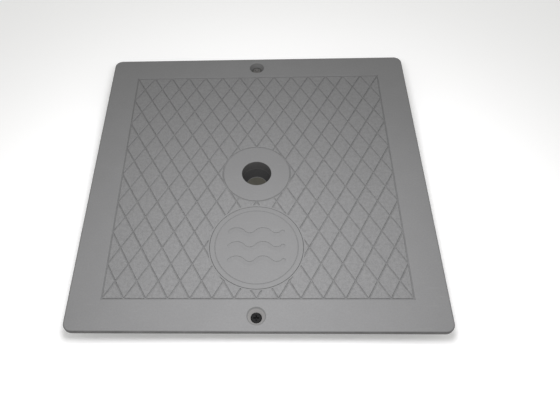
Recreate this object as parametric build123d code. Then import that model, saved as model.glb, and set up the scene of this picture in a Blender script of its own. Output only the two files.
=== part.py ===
from build123d import *

import os
from math import atan2, degrees, hypot

# Square access cover for a deck or drain box, 10 in (254 mm) across, moulded in
# grey plastic. It drops into a ledge frame: the thin flange rests on the ledge,
# the skirt below it locates in the opening, and two captive screws hold it down.
#
# Frame: millimetres, +Z up. The origin is on the floor under the cover's centre.
# -Y is the edge nearest the medallion (front), +Y is the opposite edge (rear).

# ---- driving dimensions -------------------------------------------------------
SIDE = 254.0                 # flange, edge to edge
CORNER_R = 6.3               # flange corners
HEIGHT = 16.5                # floor to top face
FLANGE_T = 3.4               # thickness of the flange and of the tread plate
TOP_EDGE_R = 0.8             # rounding of the top outer edge
LOW_EDGE_R = 0.4             # rounding of the flange's lower outer edge

TREAD = 208.0                # tread square, between its border groove's centres
DIAMONDS_X = 14              # diamonds across the tread
DIAMONDS_Y = 8               # diamonds from front to rear
GROOVE_W = 1.1               # groove mouth, before its edges are eased
GROOVE_FLOOR_W = 0.6         # groove floor
GROOVE_DEPTH = 0.65
EASE = 0.2                   # width of the easing along grooves and rims

ANNULUS_R = 25.7             # groove round the plain ring about the lift hole
HOLE_R = 11.25               # lift hole, straight for its upper part
HOLE_STRAIGHT = 9.0
HOLE_LOW_R = 8.1             # the lower part narrows to this at the floor
HUB_R = 14.5                 # boss round the lift hole, down to the floor

MEDAL_Y = -63.9              # medallion centre
MEDAL_R = 33.0               # loose disc
MEDAL_GAP = 0.2              # gap between the disc and its recess
MEDAL_T = 1.9                # disc thickness, equal to the recess depth
MEDAL_PLAIN_R = 34.3         # the tread's diamonds stop at this circle
MEDAL_RING_R = 29.4          # inner ring line
MEDAL_LINE_W = 0.5
MEDAL_LINE_DEPTH = 0.35
WAVE_ROWS = 3                # plain wave motif: rows, half waves and their size
WAVE_HALVES = 4
WAVE_CHORD = 9.4
WAVE_RISE = 2.2
WAVE_PITCH = 11.5
WAVE_BAND = 3.2
STAKE_R = 1.4                # the disc's three stakes and the holes they pass
STAKE_HOLE_R = 1.7
STAKE_CIRCLE_R = 22.0
STAKE_LENGTH = 4.0
STAKE_COUNT = 3

SKIRT_T = 3.0                # skirt wall, outer face under the tread's border
RIB_PITCH = 26.0             # rib centres, both ways
RIB_T = 2.0                  # at the floor; the pockets' draft thickens them upwards
POCKET_R = 3.0               # vertical corners of the pockets between the ribs
POCKET_DRAFT = 1.0           # degrees

SCREW_Y = 116.0              # the two screws stand at y = -116 and y = +116
RECESS_R = 6.3               # cone-shaped recess over each screw, at the top face
RECESS_DEPTH = 3.4
HEAD_POCKET_R = 3.8          # pocket that the head drops into
SHANK_HOLE_R = 2.25          # clearance hole for M4
SCREW_BOSS_R = 8.2
SCREW_WEB = 2.2              # plastic left under the washer
BOSS_TIE_W = 4.0             # web between a screw boss and the skirt

THREAD_R = 2.0               # M4, modelled at its outside diameter
THREAD_PITCH = 0.7
NECK_R = 1.6                 # unthreaded neck between the head and the thread
NECK_SPARE = 0.2             # neck left bare below the retaining ring
SCREW_LENGTH = 10.0          # under the head
HEAD_R = 3.5                 # cheese head
HEAD_T = 2.6
HEAD_EDGE_R = 0.5
HEAD_SINK = 0.2              # head top below the recess floor
TIP_CHAMFER = 0.5
DRIVE_SPAN = 4.0             # cross recess in the head
DRIVE_SLOT = 0.9
DRIVE_DEPTH = 1.5
DRIVE_CORE_R = 0.95

WASHER_R = 3.55
WASHER_HOLE_R = 2.15
WASHER_T = 0.8

BACK_OUT_TURNS = 4           # turns that free a screw from the frame
RING_R = 3.7                 # push-on ring that keeps the screw in the cover
RING_GRIP = 0.05             # its bore is this much smaller than the neck
RING_T = 0.8
RING_PLAY = 0.1              # ring to boss with the screw backed out

# ---- levels that follow from them ---------------------------------------------
FLANGE_Z = HEIGHT - FLANGE_T
RECESS_Z = HEIGHT - RECESS_DEPTH
HEAD_TOP_Z = RECESS_Z - HEAD_SINK
HEAD_LOW_Z = HEAD_TOP_Z - HEAD_T
POCKET_FLOOR_Z = HEAD_LOW_Z - WASHER_T
BOSS_LOW_Z = POCKET_FLOOR_Z - SCREW_WEB
LIFT = BACK_OUT_TURNS * THREAD_PITCH
RING_TOP_Z = BOSS_LOW_Z - LIFT - RING_PLAY
RING_LOW_Z = RING_TOP_Z - RING_T
THREAD_TOP_Z = RING_LOW_Z - NECK_SPARE
TIP_Z = HEAD_LOW_Z - SCREW_LENGTH
HOLE_TAPER_Z = HEIGHT - HOLE_STRAIGHT
MEDAL_LOW_Z = HEIGHT - MEDAL_T

OVER = 0.5                   # how far cutters run past the face they open
FROM_LOW = (Align.CENTER, Align.CENTER, Align.MIN)


def disc(radius, low, high, x=0.0, y=0.0):
    """Upright cylinder between two levels."""
    return Pos(x, y, low) * Cylinder(radius, high - low, align=FROM_LOW)


def block(size_x, size_y, low, high, x=0.0, y=0.0):
    """Upright box between two levels."""
    return Pos(x, y, low) * Box(size_x, size_y, high - low, align=FROM_LOW)


def eased_hole(radius, low_radius, low, y=0.0):
    """Cutter for a round hole from a level up through the top face, with an eased rim."""
    profile = [
        (0.0, 0.0, low - HEIGHT),
        (low_radius, 0.0, low - HEIGHT),
        (radius, 0.0, -EASE),
        (radius + EASE, 0.0, 0.0),
        (radius + EASE, 0.0, OVER),
        (0.0, 0.0, OVER),
    ]
    return Pos(0, y, HEIGHT) * revolve(make_face(Polyline(*profile, close=True)), Axis.Z)


# ---- grooves --------------------------------------------------------------------
def groove_outline(mouth, floor, depth):
    """Corners of an eased groove section: (sideways, up) from its centre line at the top face."""
    lean = (mouth - floor) / 2 / depth
    eased = mouth / 2 - lean * EASE
    wide = mouth / 2 + EASE
    right = [(floor / 2, -depth), (eased, -EASE), (wide, 0.0), (wide, OVER)]
    return [(-side, up) for side, up in reversed(right)] + right


def straight_groove(length, angle, x, y):
    """Cutter for a straight tread groove, centred at (x, y) on the top face."""
    corners = [(0.0, side, up) for side, up in groove_outline(GROOVE_W, GROOVE_FLOOR_W, GROOVE_DEPTH)]
    section = make_face(Polyline(*corners, close=True))
    bar = extrude(section, length / 2, dir=(1, 0, 0), both=True)
    return Pos(x, y, HEIGHT) * Rot(0, 0, angle) * bar


def ring_groove(radius, mouth, floor, depth, y=0.0):
    """Cutter for a circular groove on the top face."""
    corners = [(radius + side, 0.0, up) for side, up in groove_outline(mouth, floor, depth)]
    section = make_face(Polyline(*corners, close=True))
    return Pos(0, y, HEIGHT) * revolve(section, Axis.Z)


def diamond_grooves():
    """The two crossing families of grooves, cut off at the border and at the plain circles."""
    pitch_x = TREAD / DIAMONDS_X
    pitch_y = TREAD / DIAMONDS_Y
    angle = degrees(atan2(pitch_y, pitch_x))
    long_enough = 2 * hypot(TREAD, TREAD)
    field = block(TREAD, TREAD, HEIGHT - GROOVE_DEPTH - OVER, HEIGHT + 2 * OVER)
    field -= disc(ANNULUS_R, 0, HEIGHT + 3 * OVER)
    field -= disc(MEDAL_PLAIN_R, 0, HEIGHT + 3 * OVER, y=MEDAL_Y)
    last = (DIAMONDS_X + DIAMONDS_Y) // 2 - 1
    cutters = []
    for lean in (angle, -angle):
        for step in range(-last, last + 1):
            cutters.append(straight_groove(long_enough, lean, step * pitch_x, 0.0) & field)
    return cutters


def border_grooves():
    """The four grooves that frame the tread."""
    half = TREAD / 2
    length = TREAD + GROOVE_W
    cutters = []
    for side in (-half, half):
        cutters.append(straight_groove(length, 0, 0.0, side))
        cutters.append(straight_groove(length, 90, side, 0.0))
    return cutters


# ---- the moulded cover -----------------------------------------------------------
def flange():
    """The square plate with its rounded corners and edges."""
    plate = extrude(RectangleRounded(SIDE, SIDE, CORNER_R), FLANGE_T)
    plate = fillet(plate.faces().sort_by(Axis.Z)[-1].edges(), TOP_EDGE_R)
    plate = fillet(plate.faces().sort_by(Axis.Z)[0].edges(), LOW_EDGE_R)
    return Pos(0, 0, FLANGE_Z) * plate


def rib_grid():
    """Skirt and square rib grid under the tread, as a block with drafted pockets."""
    body = block(TREAD, TREAD, 0, FLANGE_Z + OVER)
    cells = round(TREAD / RIB_PITCH)
    pockets = []
    for column in range(cells):
        for row in range(cells):
            low_x, high_x = pocket_span(column, cells)
            low_y, high_y = pocket_span(row, cells)
            mouth = RectangleRounded(high_x - low_x, high_y - low_y, POCKET_R)
            hollow = extrude(mouth, FLANGE_Z, taper=POCKET_DRAFT)
            pockets.append(Pos((low_x + high_x) / 2, (low_y + high_y) / 2, 0) * hollow)
    return body - pockets


def pocket_span(index, cells):
    """Lowest and highest coordinate of one pocket along X or Y."""
    low = -TREAD / 2 + index * RIB_PITCH + RIB_T / 2
    high = low + RIB_PITCH - RIB_T
    if index == 0:
        low = -TREAD / 2 + SKIRT_T
    if index == cells - 1:
        high = TREAD / 2 - SKIRT_T
    return low, high


def screw_station(y):
    """Boss under the flange for one screw, tied to the skirt."""
    toward_skirt = -1 if y > 0 else 1
    tie_length = abs(y) - TREAD / 2
    boss = disc(SCREW_BOSS_R, BOSS_LOW_Z, FLANGE_Z + OVER, y=y)
    tie = block(BOSS_TIE_W, tie_length, BOSS_LOW_Z, FLANGE_Z + OVER, y=y + toward_skirt * tie_length / 2)
    return boss + tie


def screw_holes(y):
    """Cone-shaped recess, head pocket and shank hole for one screw."""
    return [
        eased_hole(RECESS_R, HEAD_POCKET_R, RECESS_Z, y),
        disc(HEAD_POCKET_R, POCKET_FLOOR_Z, RECESS_Z + OVER, y=y),
        disc(SHANK_HOLE_R, BOSS_LOW_Z - OVER, POCKET_FLOOR_Z + OVER, y=y),
    ]


def stake_places():
    """Where the medallion's stakes go through the plate, each inside a pocket and clear of the ribs."""
    return [Pos(0, MEDAL_Y, 0) * place for place in PolarLocations(STAKE_CIRCLE_R, STAKE_COUNT)]


def lift_hole():
    """Cutters for the straight upper bore and the narrowing lower one."""
    taper = Cone(HOLE_LOW_R, HOLE_R, HOLE_TAPER_Z, align=FROM_LOW)
    return [eased_hole(HOLE_R, HOLE_R, HOLE_TAPER_Z), taper]


def cover_plate():
    cover = flange() + rib_grid()
    cover += disc(HUB_R, 0, FLANGE_Z + OVER)
    for y in (-SCREW_Y, SCREW_Y):
        cover += screw_station(y)
    medal_r = MEDAL_R + MEDAL_GAP
    openings = [eased_hole(medal_r, medal_r, MEDAL_LOW_Z, MEDAL_Y)]
    openings += lift_hole() + screw_holes(-SCREW_Y) + screw_holes(SCREW_Y)
    openings += [place * disc(STAKE_HOLE_R, 0, HEIGHT) for place in stake_places()]
    cover -= openings
    cover -= diamond_grooves()
    cover -= border_grooves()
    cover -= ring_groove(ANNULUS_R, GROOVE_W, GROOVE_FLOOR_W, GROOVE_DEPTH)
    return cover


# ---- medallion --------------------------------------------------------------------
def wave_row(y):
    """One row of the motif: a band that follows arcs bowed up and down in turn."""
    start = -WAVE_HALVES * WAVE_CHORD / 2
    arcs = []
    for half in range(WAVE_HALVES):
        left = start + half * WAVE_CHORD
        bow = WAVE_RISE if half % 2 == 0 else -WAVE_RISE
        arcs.append(ThreePointArc((left, y), (left + WAVE_CHORD / 2, y + bow), (left + WAVE_CHORD, y)))
    ends = [Pos(side * start, y, 0) * Circle(WAVE_BAND / 2) for side in (-1, 1)]
    return trace(arcs, WAVE_BAND) + ends


def medallion_disc():
    """Loose disc, flush with the tread, with a ring line, a sunk wave motif and three stakes."""
    medal = disc(MEDAL_R, MEDAL_LOW_Z, HEIGHT, y=MEDAL_Y)
    medal = chamfer(medal.faces().sort_by(Axis.Z)[-1].edges(), EASE)
    medal -= ring_groove(MEDAL_RING_R, MEDAL_LINE_W, MEDAL_LINE_W / 2, MEDAL_LINE_DEPTH, y=MEDAL_Y)
    for row in range(WAVE_ROWS):
        offset = (row - (WAVE_ROWS - 1) / 2) * WAVE_PITCH
        band = extrude(wave_row(offset), MEDAL_LINE_DEPTH + OVER)
        medal -= Pos(0, MEDAL_Y, HEIGHT - MEDAL_LINE_DEPTH) * band
    for place in stake_places():
        medal += place * disc(STAKE_R, MEDAL_LOW_Z - STAKE_LENGTH, MEDAL_LOW_Z + OVER)
    return medal


# ---- screws -------------------------------------------------------------------------
def screw(y):
    """Captive M4 screw: cheese head with a cross recess, plain neck, threaded end."""
    head = fillet(Cylinder(HEAD_R, HEAD_T, align=FROM_LOW).faces().sort_by(Axis.Z)[-1].edges(), HEAD_EDGE_R)
    head = Pos(0, 0, HEAD_LOW_Z) * head
    thread = chamfer(disc(THREAD_R, TIP_Z, THREAD_TOP_Z).faces().sort_by(Axis.Z)[0].edges(), TIP_CHAMFER)
    body = head + disc(NECK_R, THREAD_TOP_Z - OVER, HEAD_LOW_Z + OVER) + thread
    drive_low = HEAD_TOP_Z - DRIVE_DEPTH
    body -= block(DRIVE_SPAN, DRIVE_SLOT, drive_low, HEAD_TOP_Z + OVER)
    body -= block(DRIVE_SLOT, DRIVE_SPAN, drive_low, HEAD_TOP_Z + OVER)
    body -= disc(DRIVE_CORE_R, drive_low, HEAD_TOP_Z + OVER)
    return Pos(0, y, 0) * body


def washer(y):
    """Flat nylon washer between the head and the pocket floor."""
    ring = disc(WASHER_R, POCKET_FLOOR_Z, HEAD_LOW_Z, y=y)
    return ring - disc(WASHER_HOLE_R, POCKET_FLOOR_Z - OVER, HEAD_LOW_Z + OVER, y=y)


def retaining_ring(y):
    """Push-on ring that grips the neck just above the thread."""
    ring = disc(RING_R, RING_LOW_Z, RING_TOP_Z, y=y)
    return ring - disc(NECK_R - RING_GRIP, RING_LOW_Z - OVER, RING_TOP_Z + OVER, y=y)


def save(node, solid):
    export_step(solid, f"parts/{node}.step")


os.makedirs("parts", exist_ok=True)
save("cover_plate", cover_plate())
save("medallion_disc", medallion_disc())
for end, end_y in (("front", -SCREW_Y), ("rear", SCREW_Y)):
    save(f"{end}_screw", screw(end_y))
    save(f"{end}_washer", washer(end_y))
    save(f"{end}_retaining_ring", retaining_ring(end_y))
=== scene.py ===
import math

import bmesh
import bpy
from mathutils import Matrix, Vector


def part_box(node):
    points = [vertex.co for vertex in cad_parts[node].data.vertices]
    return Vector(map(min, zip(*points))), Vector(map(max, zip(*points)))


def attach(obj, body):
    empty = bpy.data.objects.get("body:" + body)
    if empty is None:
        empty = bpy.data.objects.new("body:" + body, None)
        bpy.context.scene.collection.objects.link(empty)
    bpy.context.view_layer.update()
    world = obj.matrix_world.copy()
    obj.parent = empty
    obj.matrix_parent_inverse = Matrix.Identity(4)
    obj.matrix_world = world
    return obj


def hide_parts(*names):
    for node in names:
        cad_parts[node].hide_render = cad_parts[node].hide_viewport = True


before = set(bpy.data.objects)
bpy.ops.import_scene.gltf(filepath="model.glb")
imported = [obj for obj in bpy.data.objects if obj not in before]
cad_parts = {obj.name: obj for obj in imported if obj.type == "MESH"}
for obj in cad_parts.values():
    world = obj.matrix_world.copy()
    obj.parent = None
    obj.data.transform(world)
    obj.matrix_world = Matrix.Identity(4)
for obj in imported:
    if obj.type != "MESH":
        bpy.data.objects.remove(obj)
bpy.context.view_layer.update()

MM = 0.001

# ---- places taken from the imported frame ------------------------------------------
COVER_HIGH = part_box("cover_plate")[1]
TOP_Z = COVER_HIGH.z
MEDAL_LOW, MEDAL_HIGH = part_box("medallion_disc")
MEDAL_Y = (MEDAL_LOW.y + MEDAL_HIGH.y) / 2
MEDAL_RADIUS = (MEDAL_HIGH.x - MEDAL_LOW.x) / 2

# ---- layout of the top face, as on the CAD cover -----------------------------------
TREAD_HALF = 104.0 * MM
ANNULUS_R = 25.7 * MM
MEDAL_PLAIN_R = 34.3 * MM
HOLE_R = 11.25 * MM
HOLE_STEP_Z = TOP_Z - 9.0 * MM    # below this level the lift hole narrows
CORNER_R = 6.3 * MM
RECESS_R = 6.3 * MM
SCREW_HEAD_R = 3.5 * MM

# ---- where one finish, painted shade or painted light gives way to another -----------
FADE = 0.4 * MM                   # width over which it does so round the tread
RECESS_FADE = 0.3 * MM
HOLE_RIM_R = (HOLE_R + 0.1 * MM, HOLE_R + 0.5 * MM)
HOLE_STEP_FADE = 0.3 * MM
EDGE_SHADE_W = 1.0 * MM           # painted shade: a dark line round the plate's outer edge and side faces
EDGE_FACE_W = 0.2 * MM            # the painted shade is full from here outwards
SUNK_Z = (TOP_Z - 0.6 * MM, TOP_Z - 0.1 * MM)       # grooves and recesses lie below these
SKIN_Z = (TOP_Z - 1.2 * MM, TOP_Z - 0.8 * MM)       # the top face's own features lie above these
HOLE_RIM_Z = (TOP_Z - 0.8 * MM, TOP_Z - 0.2 * MM)
HUB_FOOT_Z = (0.1 * MM, 0.6 * MM)                   # the lift hole's painted shade stops above these
# the front recess's painted light lies below these
LIT_RECESS_Z = (TOP_Z - 1.4 * MM, TOP_Z - 0.7 * MM)
POCKET_Z = (TOP_Z - 8.5 * MM, TOP_Z - 7.5 * MM)     # the screw pockets' floors lie above these

# ---- scale of each pattern, in features per metre ------------------------------------
BROAD = 14.0                      # slow drift of tone across the plate
CLOUD = 70.0                      # handling marks, and the patches of the painted edge and recess shade and light
GROOVE_PATCHES = 120.0                      # patches of dirt and painted shade in the grooves
WEAR = 420.0                      # rubbed patches on the diamonds
MOTTLE = 900.0
GRAIN = 1300.0                    # moulded grain of the diamonds
TOOTH = 2600.0                    # finest texture
SCUFF = (60.0, 700.0, 60.0)       # long thin scratches
SCUFF_TURN = 0.5

# ---- tones of the plastic, of its dirt, and of painted shade and light ---------------
# A tone is a grey level. A share is how far it covers what lies below: one number, or the
# least and the most where a noise makes it patchy.
COOL = -0.003                     # the plastic's slight blue cast
WARM = 0.02                       # dirt, painted shade and painted light are a little brown
PLASTIC_DARK, PLASTIC_LIGHT = 0.15, 0.17
CLOUD_TONE, CLOUD_SHARE = 0.18, (0.0, 0.3)
MOTTLE_TONE, MOTTLE_SHARE = 0.135, (0.0, 0.35)
WEAR_TONE, WEAR_SHARE = 0.085, (0.0, 0.45)
SPECKLE_TONE, SPECKLE_SHARE = 0.2, (0.0, 0.45)
SMOOTH_TONE, SMOOTH_SHARE = 0.14, 0.3
SCUFF_TONE, SCUFF_SHARE = 0.2, (0.0, 0.35)
# dirt and painted shade: the grooves and everything just below the top face darkened
GROOVE_DIRT_AND_SHADE, GROOVE_SHARE = 0.07, (0.0, 0.2)
# painted shade: the outer edge and side faces darkened, in patches
EDGE_SHADE_TONE, EDGE_SHARE = 0.05, (0.55, 0.9)
# painted shade: the rear screw's recess darkened
RECESS_SHADE, RECESS_SHADE_SHARE = 0.05, (0.35, 0.7)
# painted shade: the lift hole's walls darkened, darkest below the step
HOLE_SHADE_LOW, HOLE_SHADE_HIGH, HOLE_SHADE_SHARE = 0.012, 0.055, 0.9
RECESS_LIGHT_TONE, RECESS_LIGHT_SHARE = 0.26, (0.5, 0.9)        # painted light: the front screw's recess made paler
DISC_GROOVE_SHARE = 0.3             # the grooves' dirt and painted shade on the medallion disc, against the plate's

# ---- gloss and relief -----------------------------------------------------------------
ROUGH_LOW, ROUGH_HIGH = 0.68, 0.78
TREAD_ROUGHER, GROOVE_AND_HOLE_ROUGHER = 0.08, 0.15
GRAIN_HEIGHT, GRAIN_STRENGTH = 0.12 * MM, 0.8
BROAD_HEIGHT, BROAD_STRENGTH = 0.3 * MM, 0.2
SMOOTH_GRAIN = 0.2                # how much of the tread's grain the smooth faces have
PLASTIC_IOR = 1.49
MID = (0.3, 0.7)                  # the span of a noise that most of its values lie in
CLOUD_SPAN = (0.35, 0.7)          # narrower spans, which leave more of the plastic clean
WEAR_SPAN = (0.35, 0.65)
SPECKLE_SPAN = (0.2, 0.7)
SCUFF_SPAN = (0.62, 0.72)


# ---- node helpers ----------------------------------------------------------------
class Graph:
    """A short way to write a material's node tree."""

    def __init__(self, name):
        self.material = bpy.data.materials.new(name)
        self.material.use_nodes = True
        self.nodes = self.material.node_tree.nodes
        self.links = self.material.node_tree.links
        self.shader = self.nodes["Principled BSDF"]

    def plug(self, value, socket):
        if isinstance(value, bpy.types.NodeSocket):
            self.links.new(value, socket)
        else:
            socket.default_value = value

    def math(self, operation, a, b=0.0):
        node = self.nodes.new("ShaderNodeMath")
        node.operation = operation
        self.plug(a, node.inputs[0])
        self.plug(b, node.inputs[1])
        return node.outputs[0]

    def times(self, *factors):
        product = factors[0]
        for factor in factors[1:]:
            product = self.math("MULTIPLY", product, factor)
        return product

    def place(self):
        return self.nodes.new("ShaderNodeTexCoord").outputs["Object"]

    def split(self, vector):
        node = self.nodes.new("ShaderNodeSeparateXYZ")
        self.links.new(vector, node.inputs[0])
        return node.outputs

    def stretch(self, vector, scale, turn):
        node = self.nodes.new("ShaderNodeMapping")
        self.links.new(vector, node.inputs["Vector"])
        node.inputs["Scale"].default_value = scale
        node.inputs["Rotation"].default_value = (0.0, 0.0, turn)
        return node.outputs[0]

    def noise(self, vector, scale, detail, roughness=0.5):
        node = self.nodes.new("ShaderNodeTexNoise")
        self.links.new(vector, node.inputs["Vector"])
        node.inputs["Scale"].default_value = scale
        node.inputs["Detail"].default_value = detail
        node.inputs["Roughness"].default_value = roughness
        return node.outputs["Fac"]

    def cells(self, vector, scale):
        node = self.nodes.new("ShaderNodeTexVoronoi")
        self.links.new(vector, node.inputs["Vector"])
        node.inputs["Scale"].default_value = scale
        return node.outputs["Distance"]

    def ramp(self, value, low, high, out_low=0.0, out_high=1.0):
        """out_low where the value is low or less, out_high where it is high or more."""
        node = self.nodes.new("ShaderNodeMapRange")
        node.clamp = True
        for key, number in (("Value", value), ("From Min", low), ("From Max", high),
                            ("To Min", out_low), ("To Max", out_high)):
            self.plug(number, node.inputs[key])
        return node.outputs[0]

    def below(self, value, low, high):
        """1 where the value is low or less, 0 where it is high or more."""
        return self.ramp(value, low, high, 1.0, 0.0)

    def mix(self, factor, a, b):
        node = self.nodes.new("ShaderNodeMix")
        node.data_type = "RGBA"
        self.plug(factor, node.inputs[0])
        self.plug(a, node.inputs[6])
        self.plug(b, node.inputs[7])
        return node.outputs[2]

    def bump(self, height, distance, strength, under=None):
        node = self.nodes.new("ShaderNodeBump")
        node.inputs["Distance"].default_value = distance
        node.inputs["Strength"].default_value = strength
        self.links.new(height, node.inputs["Height"])
        if under is not None:
            self.links.new(under, node.inputs["Normal"])
        return node.outputs[0]


def grey(level, warmth=0.0):
    return (level * (1 + warmth), level, level * (1 - warmth), 1.0)


# ---- the cover's plastic -----------------------------------------------------------
def round_distance(g, x, y, centre_y=0.0):
    """Distance from a point on the centre line, measured in the floor plane."""
    dy = g.math("SUBTRACT", y, centre_y)
    squares = g.math("ADD", g.times(x, x), g.times(dy, dy))
    return g.math("SQRT", squares)


def rim_depth(g, x, y):
    """0 on the flat of the plate, rising to 1 on its rounded outer edge and side faces."""
    straight = COVER_HIGH.x - CORNER_R
    over_x = g.math("MAXIMUM", g.math("SUBTRACT", g.math("ABSOLUTE", x), straight), 0.0)
    over_y = g.math("MAXIMUM", g.math("SUBTRACT", g.math("ABSOLUTE", y), straight), 0.0)
    reach = round_distance(g, over_x, over_y)
    return g.ramp(reach, CORNER_R - EDGE_SHADE_W, CORNER_R - EDGE_FACE_W)


def in_recess(g, x, y, z, screw):
    """1 within the round recess that a screw's head sits in, down to the floor of its pocket."""
    from_screw = round_distance(g, x, y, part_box(screw)[1].y - SCREW_HEAD_R)
    return g.times(g.below(from_screw, RECESS_R - RECESS_FADE, RECESS_R), g.ramp(z, *POCKET_Z))


def cover_zones(g, where):
    """Masks from 0 to 1 for the parts of the cover that have a finish, painted shade or painted light of
    their own.
    """
    x, y, z = g.split(where)
    side = g.math("MAXIMUM", g.math("ABSOLUTE", x), g.math("ABSOLUTE", y))
    from_hole = round_distance(g, x, y)
    from_medal = round_distance(g, x, y, MEDAL_Y)
    sunk = g.below(z, *SUNK_Z)
    near_top = g.ramp(z, *SKIN_Z)
    square = g.times(g.below(side, TREAD_HALF - FADE, TREAD_HALF), near_top)
    off_ring = g.ramp(from_hole, ANNULUS_R, ANNULUS_R + FADE)
    off_medal = g.ramp(from_medal, MEDAL_PLAIN_R - FADE, MEDAL_PLAIN_R)
    tread = g.times(square, off_ring, off_medal)
    fainter_disc = g.ramp(from_medal, MEDAL_RADIUS, MEDAL_PLAIN_R, DISC_GROOVE_SHARE, 1.0)
    bore = g.below(from_hole, *HOLE_RIM_R)
    return {
        "tread": tread,
        "smooth top": g.math("SUBTRACT", square, tread),
        "groove": g.times(sunk, near_top, fainter_disc),
        "edge": rim_depth(g, x, y),
        "lift hole": g.times(bore, g.below(z, *HOLE_RIM_Z), g.ramp(z, *HUB_FOOT_Z)),
        "upper hole": g.ramp(z, HOLE_STEP_Z - HOLE_STEP_FADE, HOLE_STEP_Z),
        "rear recess": g.times(in_recess(g, x, y, z, "rear_screw"), sunk),
        "front recess": g.times(in_recess(g, x, y, z, "front_screw"), g.below(z, *LIT_RECESS_Z)),
    }


def clean_colour(g, where, zones, broad, cloud, mottle):
    """The plastic's own tone, with handling marks, wear on the diamonds and scratches."""
    base = g.mix(broad, grey(PLASTIC_DARK, COOL), grey(PLASTIC_LIGHT, COOL))
    base = g.mix(g.ramp(cloud, *CLOUD_SPAN, *CLOUD_SHARE), base, grey(CLOUD_TONE, COOL))
    base = g.mix(g.ramp(mottle, *MID, *MOTTLE_SHARE), base, grey(MOTTLE_TONE, COOL))
    worn = g.ramp(g.noise(where, WEAR, 3.0, 0.65), *WEAR_SPAN, *WEAR_SHARE)
    base = g.mix(g.times(zones["tread"], worn), base, grey(WEAR_TONE, COOL))
    speckle = g.ramp(g.cells(where, GRAIN), *SPECKLE_SPAN, *SPECKLE_SHARE)
    base = g.mix(g.times(zones["tread"], speckle), base, grey(SPECKLE_TONE, COOL))
    base = g.mix(g.times(zones["smooth top"], SMOOTH_SHARE), base, grey(SMOOTH_TONE, COOL))
    scratch = g.noise(g.stretch(where, SCUFF, SCUFF_TURN), 1.0, 4.0, 0.6)
    return g.mix(g.ramp(scratch, *SCUFF_SPAN, *SCUFF_SHARE), base, grey(SCUFF_TONE, COOL))


def dirt_shade_and_light_colour(g, where, zones, cloud, base):
    """Dirt and painted shade in the grooves; painted shade on the outer edge, in the lift hole and in the
    rear recess; painted light in the front recess.
    """
    # dirt and painted shade in the grooves, just below the top face
    patchy = g.ramp(g.noise(where, GROOVE_PATCHES, 3.0), *MID, *GROOVE_SHARE)
    base = g.mix(g.times(zones["groove"], patchy), base, grey(GROOVE_DIRT_AND_SHADE, WARM))
    # painted shade on the plate's outer edge and side faces
    edge = g.times(zones["edge"], g.ramp(cloud, *MID, *EDGE_SHARE))
    base = g.mix(edge, base, grey(EDGE_SHADE_TONE, WARM))
    # painted shade in the lift hole, darker below the step
    hole_shade = g.mix(zones["upper hole"], grey(HOLE_SHADE_LOW, WARM), grey(HOLE_SHADE_HIGH, WARM))
    base = g.mix(g.times(zones["lift hole"], HOLE_SHADE_SHARE), base, hole_shade)
    # painted shade in the rear screw's recess
    rear = g.times(zones["rear recess"], g.ramp(cloud, *MID, *RECESS_SHADE_SHARE))
    base = g.mix(rear, base, grey(RECESS_SHADE, WARM))
    # painted light: the front screw's recess made paler
    front = g.times(zones["front recess"], g.ramp(cloud, *MID, *RECESS_LIGHT_SHARE))
    return g.mix(front, base, grey(RECESS_LIGHT_TONE, WARM))


def cover_material():
    """Moulded mid-grey plastic: grained diamonds, satin border, dirt and painted shade in the grooves,
    painted shade on the edge, in the lift hole and rear recess, painted light in the front recess.
    """
    g = Graph("cover_plastic")
    where = g.place()
    zones = cover_zones(g, where)
    broad = g.noise(where, BROAD, 4.0, 0.55)
    cloud = g.noise(where, CLOUD, 4.0, 0.6)
    mottle = g.noise(where, MOTTLE, 3.0, 0.6)
    clean = clean_colour(g, where, zones, broad, cloud, mottle)
    g.plug(dirt_shade_and_light_colour(g, where, zones, cloud, clean), g.shader.inputs["Base Color"])
    rough = g.ramp(mottle, *MID, ROUGH_LOW, ROUGH_HIGH)
    rough = g.math("ADD", rough, g.times(zones["tread"], TREAD_ROUGHER))
    groove_and_hole = g.math("MAXIMUM", zones["groove"], zones["lift hole"])
    rough = g.math("ADD", rough, g.times(groove_and_hole, GROOVE_AND_HOLE_ROUGHER))
    g.plug(rough, g.shader.inputs["Roughness"])
    grain = g.math("ADD", g.cells(where, GRAIN), g.noise(where, TOOTH, 2.0))
    height = g.times(grain, g.ramp(zones["tread"], 0.0, 1.0, SMOOTH_GRAIN, 1.0))
    grained = g.bump(height, GRAIN_HEIGHT, GRAIN_STRENGTH)
    normal = g.bump(broad, BROAD_HEIGHT, BROAD_STRENGTH, grained)
    g.plug(normal, g.shader.inputs["Normal"])
    g.shader.inputs["IOR"].default_value = PLASTIC_IOR
    return g.material


# ---- screws, washers and rings: finishes -----------------------------------------------
SMALL_PART_TONES = 260.0     # changes of tone per metre
SMALL_PART_TOOTH = 0.02 * MM
BLACKING_SHINE = 0.15        # the black finish reflects little


def small_part_material(name, dark, light, roughness, metallic=0.0):
    """A small part's finish: slight colour and gloss variation with a fine tooth."""
    g = Graph(name)
    where = g.place()
    broad = g.noise(where, SMALL_PART_TONES, 4.0, 0.6)
    fine = g.noise(where, TOOTH, 2.0)
    g.plug(g.mix(broad, dark, light), g.shader.inputs["Base Color"])
    g.plug(g.ramp(broad, *MID, roughness - 0.06, roughness + 0.08), g.shader.inputs["Roughness"])
    g.plug(g.bump(fine, SMALL_PART_TOOTH, 0.4), g.shader.inputs["Normal"])
    g.shader.inputs["Metallic"].default_value = metallic
    return g.material


def dress(obj, material):
    obj.data.materials.clear()
    obj.data.materials.append(material)


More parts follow.
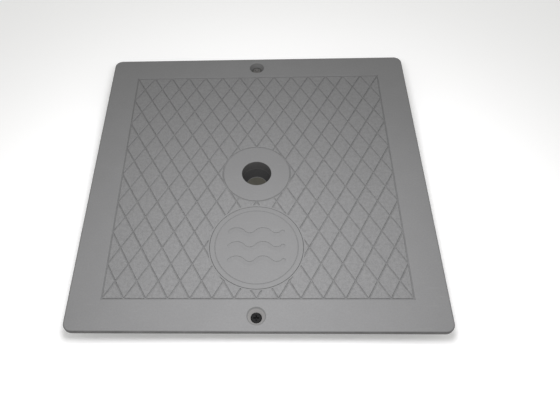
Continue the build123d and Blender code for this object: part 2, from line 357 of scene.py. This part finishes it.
cover_plastic = cover_material()
black_steel = small_part_material("screw_steel", grey(0.004), grey(0.009), 0.7)
black_steel.node_tree.nodes["Principled BSDF"].inputs["Specular IOR Level"].default_value = BLACKING_SHINE
plain_steel = small_part_material("plain_screw_steel", grey(0.11, 0.03), grey(0.2, 0.03), 0.6, 0.5)
nylon = small_part_material("washer_nylon", grey(0.02), grey(0.035), 0.5)
pale_nylon = small_part_material("ring_nylon", grey(0.42, 0.03), grey(0.5, 0.03), 0.45)


# ---- mesh helpers ----------------------------------------------------------------
SHARP_ANGLE = math.radians(35.0)
SKIN = 0.01 * MM             # how far inside the CAD solid the rounded pieces stay
TURN_SEGMENTS = 48


def add_ring(bm, centre, z, radius, segments):
    """One loop of vertices. radius is a number or a function of the angle."""
    loop = []
    for step in range(segments):
        angle = 2 * math.pi * step / segments
        reach = radius(angle) if callable(radius) else radius
        x = centre.x + reach * math.cos(angle)
        y = centre.y + reach * math.sin(angle)
        loop.append(bm.verts.new((x, y, z)))
    return loop


def skin_between(bm, loops, closed=False):
    """Quads between each loop and the next, and back to the first if closed."""
    pairs = list(zip(loops, loops[1:]))
    if closed:
        pairs.append((loops[-1], loops[0]))
    for lower, upper in pairs:
        count = len(lower)
        for step in range(count):
            after = (step + 1) % count
            bm.faces.new((lower[step], lower[after], upper[after], upper[step]))


def finish_piece(bm, name, material):
    bmesh.ops.recalc_face_normals(bm, faces=bm.faces)
    mesh = bpy.data.meshes.new(name)
    bm.to_mesh(mesh)
    bm.free()
    piece = bpy.data.objects.new(name, mesh)
    bpy.context.scene.collection.objects.link(piece)
    mesh.shade_smooth()
    mesh.set_sharp_from_angle(angle=SHARP_ANGLE)
    dress(piece, material)
    return piece


# ---- screws ----------------------------------------------------------------------
THREAD_R = 2.0 * MM
THREAD_PITCH = 0.7 * MM
THREAD_DEPTH = 0.36 * MM
THREAD_STEPS = 10            # rings in one pitch
THREAD_FLAT = 0.12           # share of the ridge that the root's flat takes
THREAD_FLANK = 0.7           # share that the flanks take
THREAD_TO_RING = 0.2 * MM
THREAD_END = 0.1 * MM        # plain stretch between the last thread ring and the neck
NECK_R = 1.6 * MM
HEAD_T = 2.6 * MM
HEAD_EDGE = 0.5 * MM
HEAD_EDGE_STEPS = 6
UNDER_EDGE = 0.15 * MM       # easing where the neck meets the head and round the head's lower edge
TIP_CHAMFER = 0.5 * MM
DRIVE_SPAN = 4.0 * MM        # cross recess, at the head's top
DRIVE_SLOT = 1.0 * MM
DRIVE_DEPTH = 1.6 * MM
DRIVE_LEVELS = ((0.0, 1.0, 1.0), (0.6, 0.72, 0.8), (1.0, 0.45, 0.6))    # depth, span and slot, as shares


def thread_radius(z, low, high, crest):
    """Radius of the thread at height z, as a function of the angle round the screw."""
    fade = min(1.0, (z - low) / TIP_CHAMFER, (high - z) / (0.5 * THREAD_PITCH))

    def radius(angle):
        phase = (z / THREAD_PITCH - angle / (2 * math.pi)) % 1.0
        ridge = 1.0 - abs(2.0 * phase - 1.0)
        height = min(1.0, max(0.0, (ridge - THREAD_FLAT) / THREAD_FLANK))
        return crest - THREAD_DEPTH + THREAD_DEPTH * height * max(0.0, fade)

    return radius


def thread_loops(bm, centre, low, high, crest):
    """The rolled thread, from the chamfered tip up to the neck."""
    loops = [add_ring(bm, centre, low, crest - TIP_CHAMFER, TURN_SEGMENTS)]
    bm.faces.new(loops[0])
    steps = round((high - low - THREAD_END) / THREAD_PITCH * THREAD_STEPS)
    for step in range(1, steps + 1):
        z = low + step * THREAD_PITCH / THREAD_STEPS
        loops.append(add_ring(bm, centre, z, thread_radius(z, low, high, crest), TURN_SEGMENTS))
    return loops


def head_loops(bm, centre, low, high, head_r):
    """The cheese head, from under its rim to the round edge of its top."""
    profile = [
        (NECK_R, low - UNDER_EDGE), (NECK_R + UNDER_EDGE, low),
        (head_r - UNDER_EDGE, low), (head_r, low + UNDER_EDGE),
    ]
    for step in range(HEAD_EDGE_STEPS + 1):
        angle = math.pi / 2 * step / HEAD_EDGE_STEPS
        inset = HEAD_EDGE * (1 - math.cos(angle))
        profile.append((head_r - inset, high - HEAD_EDGE + HEAD_EDGE * math.sin(angle)))
    return [add_ring(bm, centre, z, radius, TURN_SEGMENTS) for radius, z in profile]


def cross_outline(bm, centre, z, span, slot):
    """The cross recess at one level: twelve corners, drawn anticlockwise from the +X arm."""
    far, near = span / 2, slot / 2
    loop = []
    for quarter in range(4):
        turn = Matrix.Rotation(quarter * math.pi / 2, 2)
        for corner in ((far, -near), (far, near), (near, near)):
            x, y = turn @ Vector(corner)
            loop.append(bm.verts.new((centre.x + x, centre.y + y, z)))
    return loop


def fill_top(bm, rim, mouth):
    """The flat of the head between its round edge and the cross recess."""
    edges = []
    for loop in (rim, mouth):
        for first, second in zip(loop, loop[1:] + loop[:1]):
            edges.append(bm.edges.get((first, second)) or bm.edges.new((first, second)))
    bmesh.ops.triangle_fill(bm, edges=edges, use_beauty=True)


def build_screw(node, name, material):
    """Cheese-head screw: cross recess, plain neck and a rolled thread."""
    low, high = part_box(node)
    centre = (low + high) / 2
    head_r = (high.x - low.x) / 2 - SKIN
    ring_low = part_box(node.replace("_screw", "_retaining_ring"))[0].z
    thread_high = ring_low - THREAD_TO_RING
    bm = bmesh.new()
    loops = thread_loops(bm, centre, low.z, thread_high, THREAD_R - SKIN)
    loops.append(add_ring(bm, centre, thread_high, NECK_R, TURN_SEGMENTS))
    loops += head_loops(bm, centre, high.z - HEAD_T, high.z, head_r)
    skin_between(bm, loops)
    drive = []
    for depth, span, slot in DRIVE_LEVELS:
        z = high.z - DRIVE_DEPTH * depth
        drive.append(cross_outline(bm, centre, z, DRIVE_SPAN * span, DRIVE_SLOT * slot))
    skin_between(bm, drive)
    bm.faces.new(drive[-1])
    fill_top(bm, loops[-1], drive[0])
    return finish_piece(bm, name, material)


# ---- washers and retaining rings ---------------------------------------------------
WASHER_HOLE_R = 2.15 * MM
WASHER_EASE = 0.15 * MM
RING_EASE = 0.2 * MM
RING_DISH = 0.05 * MM        # the ring's top falls this much towards its rim
TONGUES = 6
GAP_R = 2.35 * MM            # bore between the tongues
TONGUE_REACH = 0.75 * MM


def build_washer(node, name):
    """Flat washer with eased edges."""
    low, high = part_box(node)
    centre = (low + high) / 2
    outer = (high.x - low.x) / 2 - SKIN
    inner = WASHER_HOLE_R
    ease = WASHER_EASE
    bm = bmesh.new()
    profile = [
        (inner + ease, low.z), (outer - ease, low.z), (outer, low.z + ease), (outer, high.z - ease),
        (outer - ease, high.z), (inner + ease, high.z), (inner, high.z - ease), (inner, low.z + ease),
    ]
    loops = [add_ring(bm, centre, z, radius, TURN_SEGMENTS) for radius, z in profile]
    skin_between(bm, loops, closed=True)
    return finish_piece(bm, name, nylon)


def tongued_bore(extra):
    """Radius of the push-on ring's bore, as a function of the angle."""
    def radius(angle):
        wave = 0.5 + 0.5 * math.cos(TONGUES * angle)
        tongue = min(1.0, max(0.0, (wave - 0.25) / 0.3))
        return GAP_R - TONGUE_REACH * tongue + extra

    return radius


def build_push_ring(node, name):
    """Push-on ring: a rounded rim with six tongues that bite on the screw's neck."""
    low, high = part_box(node)
    centre = (low + high) / 2
    outer = (high.x - low.x) / 2 - SKIN
    ease = RING_EASE
    tight, eased = tongued_bore(0.0), tongued_bore(ease * 0.5)
    bm = bmesh.new()
    profile = [
        (eased, low.z + ease), (outer - 2 * ease, low.z), (outer - ease, low.z), (outer, low.z + ease),
        (outer, high.z - ease), (outer - ease, high.z), (outer - 2 * ease, high.z - RING_DISH),
        (eased, high.z - ease * 0.5), (tight, high.z - ease), (tight, low.z + 1.6 * ease),
    ]
    loops = [add_ring(bm, centre, z, radius, 2 * TURN_SEGMENTS) for radius, z in profile]
    skin_between(bm, loops, closed=True)
    return finish_piece(bm, name, pale_nylon)


# ---- the pieces that are shown --------------------------------------------------------
def stand_in(piece, node, body):
    """The piece is shown in place of a CAD node and moves with its body."""
    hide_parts(node)
    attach(piece, body)


dress(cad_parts["cover_plate"], cover_plastic)
dress(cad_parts["medallion_disc"], cover_plastic)
ENDS = (
    ("front", black_steel, "screw_steel"),
    ("rear", plain_steel, "plain_screw_steel"),
)
for end, steel, steel_slot in ENDS:
    screw, washer, ring = end + "_screw", end + "_washer", end + "_retaining_ring"
    stand_in(build_screw(screw, end + "_threaded_screw", steel), screw, screw)
    stand_in(build_washer(washer, end + "_flat_washer"), washer, washer)
    stand_in(build_push_ring(ring, end + "_push_ring"), ring, screw)

# ---- floor, and a dark sheet of painted shade under the lift hole ----------------------
FLOOR_HALF = 3.0
FLOOR_GLOW = 0.2                  # keeps the floor pale and its shadows light
STAGE_ROUGHNESS = 0.9
WELL_R = 60 * MM
WELL_Z = 0.05 * MM
WELL_CORNERS = 48
SHADE_BLOTCHES = 160.0                # per metre
# painted shade: the dark sheet's tones, blotchy and a little brown
SHADE_WELL_DARK = (0.03, 0.029, 0.022, 1.0)
SHADE_WELL_LIGHT = (0.065, 0.062, 0.048, 1.0)


def stage_sheet(name, corners):
    """A flat sheet that is part of the stage, with its own material graph."""
    mesh = bpy.data.meshes.new(name)
    mesh.from_pydata(corners, [], [tuple(range(len(corners)))])
    sheet = bpy.data.objects.new(name, mesh)
    bpy.context.scene.collection.objects.link(sheet)
    g = Graph(name)
    g.shader.inputs["Roughness"].default_value = STAGE_ROUGHNESS
    dress(sheet, g.material)
    return g


def studio_floor():
    near, far = -FLOOR_HALF, FLOOR_HALF
    g = stage_sheet("studio_floor", [(near, near, 0), (far, near, 0), (far, far, 0), (near, far, 0)])
    g.shader.inputs["Base Color"].default_value = grey(0.88)
    g.shader.inputs["Emission Color"].default_value = grey(1.0)
    g.shader.inputs["Emission Strength"].default_value = FLOOR_GLOW


def painted_shade_well():
    """A dark sheet of painted shade under the cover, seen only through the lift hole."""
    corners = []
    for step in range(WELL_CORNERS):
        turn = 2 * math.pi * step / WELL_CORNERS
        corners.append((WELL_R * math.cos(turn), WELL_R * math.sin(turn), WELL_Z))
    g = stage_sheet("painted_shade_well", corners)
    blotch = g.noise(g.place(), SHADE_BLOTCHES, 4.0, 0.6)
    g.plug(g.mix(blotch, SHADE_WELL_DARK, SHADE_WELL_LIGHT), g.shader.inputs["Base Color"])


# ---- light -------------------------------------------------------------------------------
KEY_OVER = Vector((4.0 * MM, -100.0 * MM, TOP_Z))
KEY_HEIGHT = 0.25
KEY_SIZE = 0.16
KEY_POWER = 0.97
KEY_COLOUR = (0.985, 0.978, 1.0)
SKY_COLOUR = (1.0, 1.0, 0.975, 1.0)
SKY_LOW = (0.05, 0.85)            # how far up the sky, and its strength there: paler near the horizon
SKY_HIGH = (0.5, 0.5)


def key_lamp():
    """One soft round lamp close above the cover's front half, pointing straight down."""
    data = bpy.data.lights.new("key", "AREA")
    data.color = KEY_COLOUR
    data.shape = "DISK"
    data.size = KEY_SIZE
    data.energy = KEY_POWER
    lamp = bpy.data.objects.new("key", data)
    lamp.location = KEY_OVER + Vector((0, 0, KEY_HEIGHT))
    bpy.context.scene.collection.objects.link(lamp)


def pale_room():
    """An even pale room, darker overhead than round its sides."""
    world = bpy.data.worlds.new("studio")
    bpy.context.scene.world = world
    world.use_nodes = True
    nodes, links = world.node_tree.nodes, world.node_tree.links
    place = nodes.new("ShaderNodeTexCoord")
    split = nodes.new("ShaderNodeSeparateXYZ")
    rise = nodes.new("ShaderNodeMapRange")
    for name, (height, strength) in (("Min", SKY_LOW), ("Max", SKY_HIGH)):
        rise.inputs["From " + name].default_value = height
        rise.inputs["To " + name].default_value = strength
    links.new(place.outputs["Generated"], split.inputs[0])
    links.new(split.outputs["Z"], rise.inputs["Value"])
    background = nodes["Background"]
    background.inputs["Color"].default_value = SKY_COLOUR
    links.new(rise.outputs[0], background.inputs["Strength"])


# ---- camera ------------------------------------------------------------------------------
AIM = Vector((-10.4 * MM, -27.4 * MM, TOP_Z))
CAMERA_DISTANCE = 410.6 * MM
CAMERA_ELEVATION = math.radians(56.28)
CAMERA_AZIMUTH = math.radians(-4.01)     # the camera looks a little towards -X
CAMERA_ROLL = math.radians(-3.69)
CAMERA_LENS = 35.6
CAMERA_SHIFT = (0.067, 0.0025)           # the photograph is cropped off centre


def photo_camera():
    data = bpy.data.cameras.new("camera")
    data.lens = CAMERA_LENS
    data.sensor_width = 36.0
    data.shift_x, data.shift_y = CAMERA_SHIFT
    data.clip_start = 0.01
    camera = bpy.data.objects.new("camera", data)
    level = math.cos(CAMERA_ELEVATION)
    sideways = level * math.sin(CAMERA_AZIMUTH)
    forwards = level * math.cos(CAMERA_AZIMUTH)
    ahead = Vector((sideways, forwards, -math.sin(CAMERA_ELEVATION)))
    stand = Matrix.Translation(AIM - ahead * CAMERA_DISTANCE)
    aim_turn = ahead.to_track_quat("-Z", "Y").to_matrix().to_4x4()
    camera.matrix_world = stand @ aim_turn @ Matrix.Rotation(CAMERA_ROLL, 4, "Z")
    bpy.context.scene.collection.objects.link(camera)
    bpy.context.scene.camera = camera


studio_floor()
painted_shade_well()
pale_room()
key_lamp()
photo_camera()
bpy.context.scene.view_settings.view_transform = "Standard"
